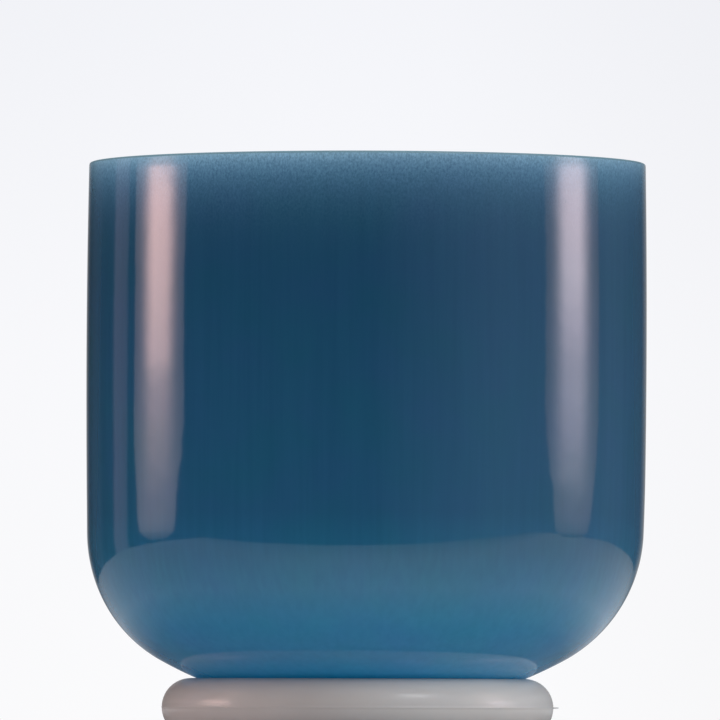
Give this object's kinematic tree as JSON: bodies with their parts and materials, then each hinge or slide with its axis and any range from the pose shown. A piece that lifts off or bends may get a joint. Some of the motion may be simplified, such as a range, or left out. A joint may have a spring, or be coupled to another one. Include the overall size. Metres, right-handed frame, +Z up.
{
  "type": "crystal singing bowl on a support ring",
  "caption": "Deep straight-walled singing bowl with a domed base, standing loose on a round rubber support ring.",
  "frame": {"origin": "on the bowl's axis, level with the flat foot of the support ring, which is the surface the object stands on", "axes": "+Z up along the bowl's axis towards its open rim; +X towards the small flash tab on the ring"},
  "size_m": [0.2032, 0.2032, 0.208],
  "materials": {
    "bowl_glass": "opaque deep blue, gloss outside, satin inside",
    "ring_rubber": "milky translucent silicone, satin"
  },
  "bodies": {
    "ring": {"support_ring": "ring_rubber"},
    "bowl": {"singing_bowl": "bowl_glass"}
  },
  "joints": [
    {"name": "bowl_lift", "type": "slide", "parent": "ring", "child": "bowl", "axis": [0, 0, 1], "range_m": [0, 0.05]}
  ]
}
